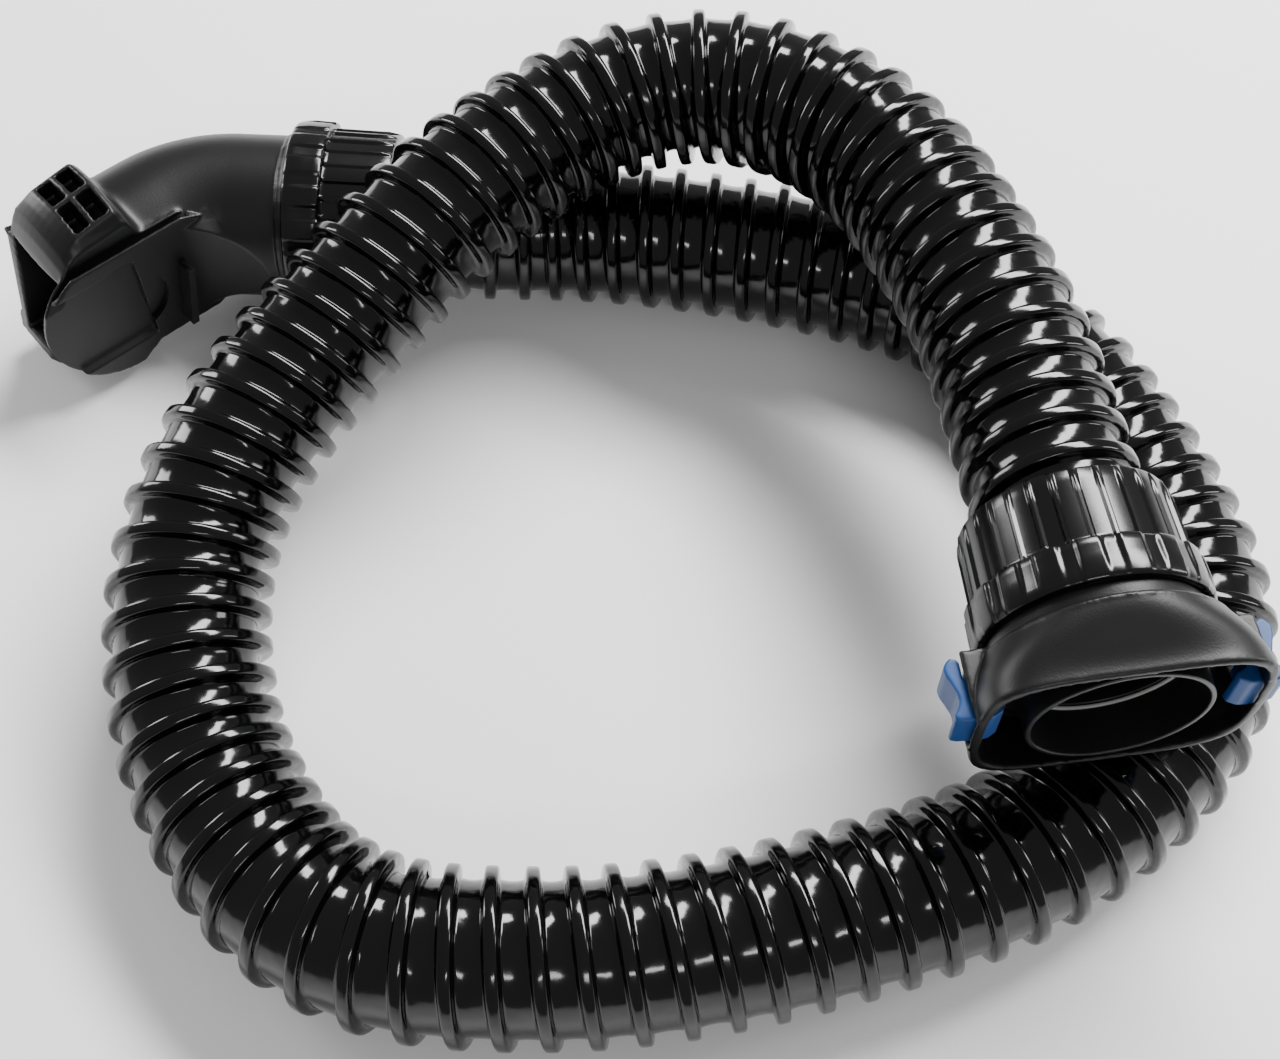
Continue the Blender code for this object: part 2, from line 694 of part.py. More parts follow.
def elbow_body(base, mat):
    shell_sections = elbow_line(ELBOW_COLLAR_END, BRANCH_TUBE_END, ELBOW_RADIUS, BRANCH_RADIUS)
    collar = [
        round_section(Vector((0, 0, z)), Vector((1, 0, 0)), r)
        for r, z in (
            (SPIGOT_RADIUS - 0.6 * MM, SPIGOT_START),
            (SPIGOT_RADIUS, SPIGOT_START + 0.8 * MM),
            (SPIGOT_RADIUS, ELBOW_COLLAR_END - 1 * MM),
            (ELBOW_RADIUS + 1.2 * MM, ELBOW_COLLAR_END),
            (ELBOW_RADIUS + 1.2 * MM, ELBOW_COLLAR_END + 1.2 * MM),
            (ELBOW_RADIUS, ELBOW_COLLAR_END + 1.4 * MM),
        )
    ]
    body = add("elbow_body", loft("elbow_body", collar + shell_sections[1:]), mat, base)
    branch = branch_matrix()
    boolean(body, add("elbow_hood", hood("elbow_hood"), None, base, branch), "UNION")
    for side in (-1, 1):
        low, high = sorted((side * (CHEEK_INNER - 1 * MM), side * CHEEK_OUTER))
        outline = cheek_outline() if side > 0 else far_cheek_outline()
        plate = side_prism("cheek", outline, low, high)
        boolean(body, add(f"elbow_cheek_{side}", plate, None, base, branch), "UNION")
    bore = loft("elbow_bore", elbow_line(20 * MM, 32 * MM, ELBOW_BORE, ELBOW_BORE))
    boolean(body, add("elbow_bore", bore, None, base))
    mouth = side_prism(
        "mouth", [(a * MM, h * MM) for a, h in MOUTH_SIDE], -13.8 * MM, 13.8 * MM
    )
    boolean(body, add("elbow_mouth", mouth, None, base, branch))
    for row, (start, end) in enumerate(POCKET_ROWS_MM):
        for column, (left, right) in enumerate(POCKET_COLUMNS_MM):
            low = (left * MM, POCKET_FLOORS_MM[row] * MM, start * MM)
            high = (right * MM, 45 * MM, end * MM)
            pocket = add(f"hood_pocket_{row}{column}", box("pocket", low, high), None, base, branch)
            boolean(body, pocket)
    sink = CHEEK_OUTER - CHEEK_SINK
    crescent = side_prism("crescent", crescent_outline(), sink, 24 * MM)
    boolean(body, add("elbow_crescent", crescent, None, base, branch))
    slot = side_prism("slot", [(a * MM, h * MM) for a, h in SLOT_MM], sink, 24 * MM)
    boolean(body, add("elbow_slot", slot, None, base, branch))
    return body


def build():
    clear_scene()
    mats = {
        "hose": material("gloss_black_vinyl", (0.006, 0.006, 0.007), 0.12),
        "gloss": material("gloss_black_plastic", (0.008, 0.008, 0.009), 0.22),
        "satin": material("satin_black_plastic", (0.013, 0.013, 0.014), 0.38),
        "blue": material("blue_plastic", (0.03, 0.14, 0.42), 0.3),
        "rubber": material("black_rubber", (0.02, 0.02, 0.02), 0.6),
        "ring": material("pale_plastic", (0.55, 0.55, 0.53), 0.4),
        "steel": material("spring_steel", (0.6, 0.6, 0.6), 0.3, 1.0),
    }
    away = Vector(
        (
            math.sin(COUPLING_YAW) * math.cos(COUPLING_DROOP),
            -math.cos(COUPLING_YAW) * math.cos(COUPLING_DROOP),
            -math.sin(COUPLING_DROOP),
        )
    )
    level = Vector((math.cos(COUPLING_YAW), math.sin(COUPLING_YAW), 0))
    right = Matrix.Rotation(COUPLING_ROLL, 3, away) @ level
    coupling = frame("coupling_axis", right, away, COUPLING_FACE)
    elbow_away = Vector((-math.cos(ELBOW_YAW), math.sin(ELBOW_YAW), 0))
    front = Vector((0, 0, 1)).cross(elbow_away)
    elbow = frame("elbow_axis", -front if front.y > 0 else front, elbow_away, ELBOW_FACE)
    bpy.context.view_layer.update()

    hose(hose_route(coupling, elbow), mats["hose"])
    nut_mesh = turned("nut", nut_profile(), NUT_SEGMENTS, nut_grip)
    end_stack("coupling", coupling, mats, nut_mesh)
    end_stack("elbow", elbow, mats, nut_mesh)

    coupling_pipe(coupling, mats["satin"])
    clip = washer("coupling_clip", CLIP_RADII, CLIP)
    add("coupling_clip", clip, mats["steel"], coupling)
    seal = washer("coupling_bore_seal", BORE_SEAL_RADII, BORE_SEAL)
    add("coupling_bore_seal", seal, mats["ring"], coupling)
    coupling_housing(coupling, mats["satin"])
    for side in (-1, 1):
        lever(side, coupling, mats["blue"])
        name = "latch_pin_" + ("right" if side > 0 else "left")
        pin = turned_solid(name, PIN_RADIUS, -8.9 * MM, 8.9 * MM, 12)
        add(name, pin, mats["steel"], coupling, pin_place(side))
        spring(side, coupling, mats["steel"])

    elbow_body(elbow, mats["satin"])


build()
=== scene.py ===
import math

import bmesh
import bpy
import numpy as np
from mathutils import Matrix, Vector


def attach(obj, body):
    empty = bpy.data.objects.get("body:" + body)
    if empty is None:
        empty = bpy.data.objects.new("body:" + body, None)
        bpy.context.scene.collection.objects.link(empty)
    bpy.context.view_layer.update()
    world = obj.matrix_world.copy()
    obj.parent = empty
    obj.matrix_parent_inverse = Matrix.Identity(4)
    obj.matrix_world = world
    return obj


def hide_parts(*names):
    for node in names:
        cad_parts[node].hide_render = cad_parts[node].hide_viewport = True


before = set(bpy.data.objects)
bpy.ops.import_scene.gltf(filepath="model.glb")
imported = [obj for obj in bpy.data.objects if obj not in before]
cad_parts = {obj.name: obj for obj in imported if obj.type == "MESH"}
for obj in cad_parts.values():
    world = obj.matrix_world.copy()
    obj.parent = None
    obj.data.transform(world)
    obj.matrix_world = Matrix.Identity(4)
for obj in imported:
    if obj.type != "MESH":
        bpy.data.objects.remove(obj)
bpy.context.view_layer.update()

# Looks of a ribbed vacuum hose with a latch coupling on one end and a swivel elbow on the other.
# Lengths are in metres. Each end fitting has its own frame: local Z runs along the fitting's axis,
# away from the hose, from the hose-side face of its nut. The elbow's branch has a third frame, with
# Z along the branch, X across its cheeks and Y up through its hood.

MM = 0.001

# The fittings' places and the hose's centre line, as in the CAD.
COUPLING_FACE = Vector((0.1369, -0.0604, 0.0783))
COUPLING_YAW = math.radians(7.5)
COUPLING_DROOP = math.radians(1.5)
COUPLING_ROLL = math.radians(1.6)
ELBOW_FACE = Vector((-0.057, 0.0885, 0.033))
ELBOW_YAW = math.radians(3)
ELBOW_BEND_AT = 68.6 * MM
ELBOW_ANGLE = math.radians(44)
HOSE_DEPTH_IN_NUT = 16 * MM
STRAIGHT_PAST_NUT = 6 * MM
SPLINE_STEPS = 6000
ROUTE = [
    (-0.038, 0.0896, 0.0292),
    (-0.023, 0.091, 0.0262),
    (-0.007, 0.092, 0.0245),
    (0.012, 0.0912, 0.024),
    (0.036, 0.088, 0.024),
    (0.086, 0.0765, 0.024),
    (0.110, 0.068, 0.024),
    (0.150, 0.0405, 0.024),
    (0.174, -0.002, 0.024),
    (0.1855, -0.070, 0.024),
    (0.177, -0.091, 0.024),
    (0.162, -0.109, 0.024),
    (0.120, -0.1365, 0.024),
    (0.0865, -0.148, 0.024),
    (0.016, -0.162, 0.024),
    (-0.018, -0.1625, 0.024),
    (-0.046, -0.1585, 0.024),
    (-0.070, -0.1455, 0.024),
    (-0.087, -0.126, 0.0246),
    (-0.099, -0.104, 0.027),
    (-0.106, -0.078, 0.032),
    (-0.107, -0.050, 0.038),
    (-0.1015, -0.027, 0.044),
    (-0.091, -0.006, 0.0495),
    (-0.068, 0.0255, 0.0585),
    (-0.043, 0.054, 0.0682),
    (-0.014, 0.081, 0.0734),
    (0.0175, 0.0998, 0.0768),
    (0.046, 0.1026, 0.0798),
    (0.074, 0.092, 0.082),
    (0.097, 0.070, 0.083),
    (0.113, 0.040, 0.0828),
    (0.125, 0.008, 0.0816),
    (0.1322, -0.025, 0.0794),
]

# The hose: a rib wound as a right-handed helix, on a web that takes up the bends. RIB_SHAPE gives
# the rib's rise over the web at shares of its half width, and WEB_SHAPE where the web's points lie
# between two ribs. RIB_WANDER holds the sizes and rates of the helix's slight unevenness.
HOSE_DIAMETER = 48 * MM
END_DIAMETER = HOSE_DIAMETER - 1.2 * MM
BORE_RADIUS_AT_ENDS = 19 * MM
BORE_RADIUS = 16.4 * MM
BORE_TAPER = 30 * MM
RIB_PITCH = 11.4 * MM
RIB_WANDER = [(0.12 * MM, 1.7), (0.08 * MM, 4.3)]
RIB_HALF_WIDTH = 2.3 * MM
RIB_WIDEST = 0.36 * RIB_PITCH
RIB_HEIGHT = 3.2 * MM
RIB_RISE_IN_BENDS = 5.5 * MM
RIB_DROP_IN_BENDS = 1.6 * MM
RIB_SHAPE = [(-1, 0.0), (-0.9, 0.42), (-0.78, 0.84), (-0.62, 0.97), (-0.3, 1.0), (0, 1.0)]
RIB_SHAPE += [(0.3, 1.0), (0.62, 0.97), (0.78, 0.84), (0.9, 0.42), (1, 0.0)]
WEB_SHAPE = [0.1, 0.3, 0.5, 0.7, 0.9]
WEB_SAG = 0.35 * MM
PLAIN_END = 4 * MM
STRETCH_RANGE = (0.45, 1.6)
SECTION_POINTS = len(RIB_SHAPE) + len(WEB_SHAPE)
AROUND_HOSE = 64
LINE_STEPS = 2400
BEND_WINDOW = 31
BORE_STEPS = 160
CORD_STEPS = 240
END_ZONE = 30 * MM
SAME_POINT = 2e-6

# The nuts, in mm: radius and distance along the axis, down the outside and back up the inside.
NUT_OUTSIDE = [(27.4, 0.0), (28.1, 0.35), (28.35, 1.0), (28.5, 4), (28.6, 8), (28.75, 13), (28.9, 18)]
NUT_OUTSIDE += [(28.95, 20.5), (29.0, 21.6), (29.3, 21.95), (30.2, 22.0), (30.7, 22.25), (31.0, 22.8)]
NUT_OUTSIDE += [(31.05, 24.5), (31.2, 27), (31.35, 29.2), (31.55, 31.2), (31.6, 32.6), (31.4, 33.5)]
NUT_OUTSIDE += [(30.9, 34.05), (30.5, 34.2)]
NUT_INSIDE = [(29.6, 34.2), (29.5, 33.9), (29.5, 23.5), (27.1, 23.5), (27.1, 4.0), (25.4, 4.0)]
NUT_INSIDE += [(25.4, 0.4), (25.8, 0.0)]
SMALL_TIER_END = 22 * MM
SMALL_TIER_SKIN = 27.3 * MM
LARGE_TIER_SKIN = 30.1 * MM
GRIP_HEIGHT = 0.75 * MM
SMALL_RIBS = 30
LARGE_LOBES = 18

# The coupling's turned parts, in mm: radius and distance along the axis.
PIPE_PROFILE = [(22, 29.7), (28.4, 29.7), (29, 30.5), (29, 38.9), (27, 38.9), (27, 43.3), (25.8, 43.3)]
PIPE_PROFILE += [(25.8, 45.1), (27, 45.1), (27, 46.5), (24.2, 48), (24.2, 58.1), (22.7, 58.1)]
PIPE_PROFILE += [(22.7, 44.3), (21, 44.3), (21, 38.3), (22, 37.3)]
# The bore ring's pale inner face makes the thin bright line inside the bore: a painted highlight
# standing for the glint on the bore's step.
BORE_RING_PROFILE = [(21.7, 44.4), (22.65, 44.4), (22.65, 45.3), (21.7, 45.3)]

# The housing's outer oval, in mm: distance along the axis, half width, half height, and last how
# square it is. The CAD's points between the two HOUSING_SMOOTHED distances, and no further than
# HOUSING_CATCH from the oval, are drawn onto it.
HOUSING_SECTIONS = [
    (39.2, 32.8, 32.8, 2.0),
    (40.0, 33.6, 33.6, 2.0),
    (44.0, 35.2, 32.4, 2.3),
    (48.5, 36.8, 30.2, 2.8),
    (53.5, 37.4, 28.4, 3.6),
    (58.0, 37.4, 27.4, 4.2),
]
HOUSING_SMOOTHED = (40.8, 57.6)
HOUSING_CATCH = 0.55

# The sizes of the faces of the pieces that are skinned anew from the CAD's.
HOUSING_VOXEL = 0.45 * MM
PAD_VOXEL = 0.28 * MM
ELBOW_VOXEL = 0.5 * MM

# The elbow: the radii of its bend and tubes, its cheeks' faces, and how its sides run into them.
ELBOW_BEND_RADIUS = 38 * MM
TUBE_RADIUS = 26.8 * MM
BRANCH_RADIUS = 27.3 * MM
TUBE_WALL = 2.6 * MM
TUBE_CATCH = 0.4 * MM
COLLAR_END = 37.5 * MM
BRANCH_ROUND_END = 30 * MM
CHEEK_START = 4 * MM
CHEEK_INNER = 18.5 * MM
CHEEK_OUTER = 19.7 * MM
FLAT_START = -2 * MM
FLAT_FROM = 16 * MM
FLAT_SWEEP = 8 * MM
SADDLE_ACROSS = 15.5 * MM
HOOD_START = 32.4 * MM

# The elbow's marks, in mm: distance along the branch and height. The valley is the groove between
# the hood and the cheek, the slot stands beside the cheek's disc.
VALLEY = [(9, 25.5), (12, 21), (20, 20.4), (44, 20.4), (55, 17), (60, 12), (70, 12), (70, 40), (9, 40)]
VALLEY_INNER = 16.2 * MM
VALLEY_OUTER = 18.3 * MM
SLOT = [(17.6, 7), (20, 7), (24.2, -16), (21.8, -16)]
MARK_DEPTH = 2.0 * MM
MARK_CUTTER_TOP = 26 * MM

# The camera, with its lens and sensor in mm, and the studio.
CAMERA_PLACE = (0.0235, -0.3037, 0.4635)
CAMERA_TILT = math.radians(32)
CAMERA_LENS = 47.6
SENSOR_WIDTH = 36
FLOOR_HALF = 3.0
FLOOR_DROP = 0.3 * MM
WORLD_LIGHT = 0.35
LIGHT_DISTANCE = 1.3
LIGHT_AIM = Vector((0.02, -0.02, 0.03))


# ---------------------------------------------------------------- frames and routes


def axes_matrix(x_axis, z_axis, origin):
    z_axis = z_axis.normalized()
    x_axis = x_axis.normalized()
    turn = Matrix((x_axis, z_axis.cross(x_axis), z_axis)).transposed().to_4x4()
    return Matrix.Translation(origin) @ turn


def coupling_matrix():
    away = Vector(
        (
            math.sin(COUPLING_YAW) * math.cos(COUPLING_DROOP),
            -math.cos(COUPLING_YAW) * math.cos(COUPLING_DROOP),
            -math.sin(COUPLING_DROOP),
        )
    )
    level = Vector((math.cos(COUPLING_YAW), math.sin(COUPLING_YAW), 0))
    return axes_matrix(Matrix.Rotation(COUPLING_ROLL, 3, away) @ level, away, COUPLING_FACE)


def elbow_matrix():
    away = Vector((-math.cos(ELBOW_YAW), math.sin(ELBOW_YAW), 0))
    return axes_matrix(Vector((-math.sin(ELBOW_YAW), -math.cos(ELBOW_YAW), 0)), away, ELBOW_FACE)


COUPLING = coupling_matrix()
ELBOW = elbow_matrix()
BRANCH = ELBOW @ Matrix.Translation((0, 0, ELBOW_BEND_AT)) @ Matrix.Rotation(ELBOW_ANGLE, 4, "Y")


def natural_spline(points, count):
    """Points evenly spaced along a natural cubic spline through the given points, and its length."""
    knots = np.array(points, float)
    chord = np.linalg.norm(np.diff(knots, axis=0), axis=1)
    at = np.concatenate([[0.0], np.cumsum(chord)])
    size = len(knots)
    lhs = np.zeros((size, size))
    rhs = np.zeros((size, 3))
    lhs[0, 0] = lhs[-1, -1] = 1.0
    for i in range(1, size - 1):
        before, after = chord[i - 1], chord[i]
        lhs[i, i - 1 : i + 2] = before, 2 * (before + after), after
        rhs[i] = 6 * ((knots[i + 1] - knots[i]) / after - (knots[i] - knots[i - 1]) / before)
    bend = np.linalg.solve(lhs, rhs)
    fine = np.linspace(0, at[-1], SPLINE_STEPS)
    part = np.clip(np.searchsorted(at, fine, side="right") - 1, 0, size - 2)
    width = chord[part][:, None]
    right = (fine - at[part])[:, None]
    left = width - right
    curve = bend[part] * left**3 / (6 * width) + bend[part + 1] * right**3 / (6 * width)
    curve += (knots[part] / width - bend[part] * width / 6) * left
    curve += (knots[part + 1] / width - bend[part + 1] * width / 6) * right
    length = np.concatenate([[0.0], np.cumsum(np.linalg.norm(np.diff(curve, axis=0), axis=1))])
    wanted = np.linspace(0, length[-1], count)
    return np.array([np.interp(wanted, length, curve[:, k]) for k in range(3)]).T, length[-1]


def hose_line(count):
    """The hose's centre line, from its end in the elbow's nut to its end in the coupling's."""
    depth = HOSE_DEPTH_IN_NUT
    start = [ELBOW @ Vector((0, 0, z)) for z in (depth, 0.3 * depth, -STRAIGHT_PAST_NUT)]
    end = [COUPLING @ Vector((0, 0, z)) for z in (-STRAIGHT_PAST_NUT, 0.3 * depth, depth)]
    return natural_spline([*start, *ROUTE, *end], count)


def carried_frame(line):
    """Unit tangents and the two side directions carried along the line without twist."""
    tangent = np.gradient(line, axis=0)
    tangent /= np.linalg.norm(tangent, axis=1)[:, None]
    side = np.zeros_like(line)
    side[0] = np.cross([0, 0, 1], tangent[0])
    side[0] /= np.linalg.norm(side[0])
    for i in range(1, len(line)):
        carried = side[i - 1] - tangent[i] * (side[i - 1] @ tangent[i])
        side[i] = carried / np.linalg.norm(carried)
    return tangent, side, np.cross(tangent, side)


# ---------------------------------------------------------------- meshes


def ramp(value, start, run):
    """Rises from 0 to 1 over the run that begins at start."""
    return np.clip((value - start) / run, 0, 1)


def in_metres(outline):
    return [(a * MM, b * MM) for a, b in outline]


def make_object(name, points, faces, mat, smooth_angle=None):
    mesh = bpy.data.meshes.new(name)
    mesh.from_pydata([tuple(p) for p in points], [], [tuple(f) for f in faces])
    mesh.materials.append(mat)
    mesh.shade_smooth()
    if smooth_angle:
        mesh.set_sharp_from_angle(angle=math.radians(smooth_angle))
    obj = bpy.data.objects.new(name, mesh)
    bpy.context.scene.collection.objects.link(obj)
    return obj


def turned(name, profile, matrix, mat, segments, radius_at=None, smooth_angle=40):
    """A closed profile of (radius, distance) turned about a fitting's axis."""
    angles = np.linspace(0, 2 * math.pi, segments, endpoint=False)
    points = []
    for radius, distance in profile:
        grown = radius + (radius_at(radius, distance, angles) if radius_at else 0 * angles)
        for r, a in zip(grown, angles):
            points.append(matrix @ Vector((r * math.cos(a), r * math.sin(a), distance)))
    faces = []
    rows = len(profile)
    for i in range(rows):
        low, high = i * segments, (i + 1) % rows * segments
        for j in range(segments):
            k = (j + 1) % segments
            faces.append((low + j, low + k, high + k, high + j))
    return make_object(name, points, faces, mat, smooth_angle)


def rounded(profile, radius, steps=3):
    """A closed profile with each corner of it rounded off."""
    out = []
    count = len(profile)
    for i in range(count):
        here = np.array(profile[i], float)
        before = np.array(profile[i - 1], float) - here
        after = np.array(profile[(i + 1) % count], float) - here
        reach = min(radius, 0.42 * np.linalg.norm(before), 0.42 * np.linalg.norm(after))
        start = here + before / np.linalg.norm(before) * reach
        end = here + after / np.linalg.norm(after) * reach
        for k in range(steps + 1):
            t = k / steps
            out.append(tuple((1 - t) ** 2 * start + 2 * t * (1 - t) * here + t**2 * end))
    return out


def cad_copy(node, name):
    """A new object with a copy of a CAD node's mesh, to be reworked into a finished piece."""
    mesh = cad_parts[node].data.copy()
    mesh.materials.clear()
    obj = bpy.data.objects.new(name, mesh)
    bpy.context.scene.collection.objects.link(obj)
    return obj


def baked(obj):
    """Replaces an object's mesh by its evaluated one, modifiers applied."""
    graph = bpy.context.evaluated_depsgraph_get()
    mesh = bpy.data.meshes.new_from_object(obj.evaluated_get(graph))
    obj.modifiers.clear()
    obj.data = mesh
    mesh.name = obj.name


def cut(obj, cutter):
    """Takes the cutter's shape out of the object, and removes the cutter."""
    step = obj.modifiers.new("cut", "BOOLEAN")
    step.operation = "DIFFERENCE"
    step.solver = "EXACT"
    step.object = cutter
    baked(obj)
    bpy.data.objects.remove(cutter)


def remeshed(obj, voxel, rounds):
    """Skins the object anew with small even faces, then softens its edges."""
    step = obj.modifiers.new("skin", "REMESH")
    step.mode = "VOXEL"
    step.voxel_size = voxel
    baked(obj)
    relax(obj, rounds)
    obj.data.shade_smooth()


def relax(obj, rounds, weight=None):
    """Moves each point towards the middle of its neighbours, as much as its weight says."""
    mesh = obj.data
    count = len(mesh.vertices)
    points = np.empty(count * 3)
    mesh.vertices.foreach_get("co", points)
    points = points.reshape(-1, 3)
    edges = np.empty(len(mesh.edges) * 2, np.int64)
    mesh.edges.foreach_get("vertices", edges)
    ends = np.concatenate([edges.reshape(-1, 2), edges.reshape(-1, 2)[:, ::-1]])
    near = np.bincount(ends[:, 0], minlength=count)[:, None]
    share = 0.5 if weight is None else 0.5 * weight(points)[:, None]
    for _ in range(rounds):
        total = [np.bincount(ends[:, 0], points[ends[:, 1], k], count) for k in range(3)]
        points = points + share * (np.array(total).T / near - points)
    mesh.vertices.foreach_set("co", points.ravel())
    mesh.update()


def prism(name, outline, low, high, matrix):
    """An outline of (along, height) points stood across a frame's X from low to high."""
    count = len(outline)
    points = [matrix @ Vector((x, h, a)) for x in (low, high) for a, h in outline]
    faces = [tuple(range(count)), tuple(range(2 * count - 1, count - 1, -1))]
    faces += [(i, count + i, count + (i + 1) % count, (i + 1) % count) for i in range(count)]
    obj = make_object(name, points, faces, None)
    obj.data.materials.clear()
    work = bmesh.new()
    work.from_mesh(obj.data)
    bmesh.ops.recalc_face_normals(work, faces=work.faces)
    work.to_mesh(obj.data)
    work.free()
    return obj


# ---------------------------------------------------------------- materials


def noise(tree, place, scale, detail):
    """A noise texture's value, in the object's own coordinates."""
    node = tree.nodes.new("ShaderNodeTexNoise")
    node.inputs["Scale"].default_value = scale
    node.inputs["Detail"].default_value = detail
    tree.links.new(place, node.inputs["Vector"])
    return node.outputs["Fac"]


def bumped(tree, height, strength, distance):
    node = tree.nodes.new("ShaderNodeBump")
    node.inputs["Strength"].default_value = strength
    node.inputs["Distance"].default_value = distance
    tree.links.new(height, node.inputs["Height"])
    return node


def plastic(name, colour, roughness, grain, bump, spread=0.25, wave=None, gleam=0.5):
    """Moulded plastic: a fine grain and slight changes of gloss and colour, and, where wave gives
    a scale and a depth, a slow waviness."""
    mat = bpy.data.materials.new(name)
    mat.use_nodes = True
    tree = mat.node_tree
    shader = tree.nodes["Principled BSDF"]
    shader.inputs["Specular IOR Level"].default_value = gleam
    place = tree.nodes.new("ShaderNodeTexCoord").outputs["Object"]
    cloud = noise(tree, place, 35, 5)
    gloss = tree.nodes.new("ShaderNodeMapRange")
    gloss.inputs["To Min"].default_value = roughness * (1 - spread)
    gloss.inputs["To Max"].default_value = roughness * (1 + spread)
    tree.links.new(cloud, gloss.inputs["Value"])
    tree.links.new(gloss.outputs["Result"], shader.inputs["Roughness"])
    tint = tree.nodes.new("ShaderNodeMix")
    tint.data_type = "RGBA"
    tint.inputs["A"].default_value = (*[c * 0.85 for c in colour], 1)
    tint.inputs["B"].default_value = (*[c * 1.2 for c in colour], 1)
    tree.links.new(cloud, tint.inputs["Factor"])
    tree.links.new(tint.outputs["Result"], shader.inputs["Base Color"])
    grit = bumped(tree, noise(tree, place, grain, 3), bump, 0.1 * MM)
    if wave:
        scale, depth = wave
        swell = bumped(tree, noise(tree, place, scale, 2), 1.0, depth)
        tree.links.new(swell.outputs["Normal"], grit.inputs["Normal"])
    tree.links.new(grit.outputs["Normal"], shader.inputs["Normal"])
    return mat


def vinyl():
    """The hose's glossy black vinyl, slightly wavy."""
    black = (0.0012, 0.0012, 0.0014)
    ripple = (95, 0.4 * MM)
    look = dict(roughness=0.12, grain=1800, bump=0.05, spread=0.35, wave=ripple, gleam=0.4)
    return plastic("hose_gloss_vinyl", black, **look)


def glossy_black():
    """The nuts' glossy black plastic."""
    black = (0.0018, 0.0018, 0.002)
    return plastic("nut_gloss_black", black, roughness=0.2, grain=1500, bump=0.06, spread=0.2, gleam=0.4)


def satin_black():
    """The fittings' satin black plastic."""
    black = (0.0028, 0.0028, 0.0031)
    return plastic("satin_black", black, roughness=0.4, grain=1700, bump=0.35, spread=0.15, gleam=0.35)


def pad_blue():
    """The finger pads' blue plastic."""
    blue = (0.012, 0.055, 0.19)
    return plastic("pad_blue", blue, roughness=0.38, grain=1200, bump=0.1, spread=0.2, gleam=0.25)


def rubber():
    """The gaskets' dull rubber."""
    return plastic("seal_rubber", (0.02, 0.02, 0.02), roughness=0.6, grain=1500, bump=0.4)


def nylon():
    """The pale nylon of the rings."""
    return plastic("pale_nylon", (0.4, 0.4, 0.39), roughness=0.35, grain=1300, bump=0.2)


def steel():
    """The springs' and pins' drawn steel."""
    mat = plastic("spring_steel", (0.55, 0.55, 0.56), roughness=0.28, grain=1400, bump=0.15)
    mat.node_tree.nodes["Principled BSDF"].inputs["Metallic"].default_value = 1.0
    return mat


VINYL = vinyl()
GLOSS = glossy_black()
SATIN = satin_black()
BLUE = pad_blue()
RUBBER = rubber()
NYLON = nylon()
STEEL = steel()


# ---------------------------------------------------------------- the camera, the floor and the light


def camera():
    data = bpy.data.cameras.new("camera")
    data.lens = CAMERA_LENS
    data.sensor_width = SENSOR_WIDTH
    data.sensor_fit = "HORIZONTAL"
    obj = bpy.data.objects.new("camera", data)
    obj.location = CAMERA_PLACE
    obj.rotation_euler = (CAMERA_TILT, 0, 0)
    bpy.context.scene.collection.objects.link(obj)
    bpy.context.scene.camera = obj


def softbox(name, direction, size, power):
    """A rectangular soft light that faces the object's middle."""
    data = bpy.data.lights.new(name, "AREA")
    data.shape = "RECTANGLE"
    data.size, data.size_y = size
    data.energy = power
    obj = bpy.data.objects.new(name, data)
    way = Vector(direction).normalized()
    level = Vector((0, 0, 1)).cross(way).normalized()
    turn = Matrix((level, way.cross(level), way)).transposed().to_4x4()
    obj.matrix_world = Matrix.Translation(way * LIGHT_DISTANCE + LIGHT_AIM) @ turn
    bpy.context.scene.collection.objects.link(obj)


def pale_floor():
    mat = bpy.data.materials.new("pale_floor")
    mat.use_nodes = True
    shader = mat.node_tree.nodes["Principled BSDF"]
    shader.inputs["Base Color"].default_value = (0.95, 0.95, 0.95, 1)
    shader.inputs["Roughness"].default_value = 0.9
    size = FLOOR_HALF
    corners = [(-size, -size, 0), (size, -size, 0), (size, size, 0), (-size, size, 0)]
    floor = make_object("floor", corners, [(0, 1, 2, 3)], mat)
    floor.location.z = -FLOOR_DROP


def studio():
    """A pale floor, an even pale surround, and four soft lights."""
    pale_floor()
    world = bpy.data.worlds.new("studio_world")
    world.use_nodes = True
    back = world.node_tree.nodes["Background"]
    back.inputs["Color"].default_value = (1, 1, 1, 1)
    back.inputs["Strength"].default_value = WORLD_LIGHT
    bpy.context.scene.world = world
    softbox("back_strip", direction=(0.36, 0.5, 0.79), size=(1.15, 0.32), power=46)
    softbox("left_panel", direction=(-0.83, 0.5, 0.28), size=(0.3, 0.5), power=7)
    softbox("front_panel", direction=(0.15, -0.72, 0.68), size=(0.5, 0.1), power=3.5)
    softbox("right_panel", direction=(0.93, 0.1, 0.35), size=(0.2, 0.5), power=4)


# ---------------------------------------------------------------- the hose


class HoseRoute:
    """The hose's centre line, its side directions and how it bends, at even steps along it."""

    def __init__(self):
        self.line, self.length = hose_line(LINE_STEPS)
        tangent, self.side, self.up = carried_frame(self.line)
        self.along = np.linspace(0, self.length, LINE_STEPS)
        bend = np.gradient(tangent, self.along, axis=0)
        window = np.ones(BEND_WINDOW) / BEND_WINDOW
        self.bend_side = np.convolve((bend * self.side).sum(1), window, "same")
        self.bend_up = np.convolve((bend * self.up).sum(1), window, "same")

    def at(self, places):
        """The centres and both side directions at distances along the hose."""
        found = []
        for rows in (self.line, self.side, self.up):
            found.append(np.array([np.interp(places, self.along, rows[:, k]) for k in range(3)]).T)
        return found

    def stretch(self, places, angles):
        """How far the bend spreads the ribs apart, at each place around the hose."""
        inside = np.clip(places, 0, self.length)
        curve = np.interp(inside, self.along, self.bend_side) * np.cos(angles)
        curve += np.interp(inside, self.along, self.bend_up) * np.sin(angles)
        return np.clip(1 - curve * 0.5 * HOSE_DIAMETER, *STRETCH_RANGE)


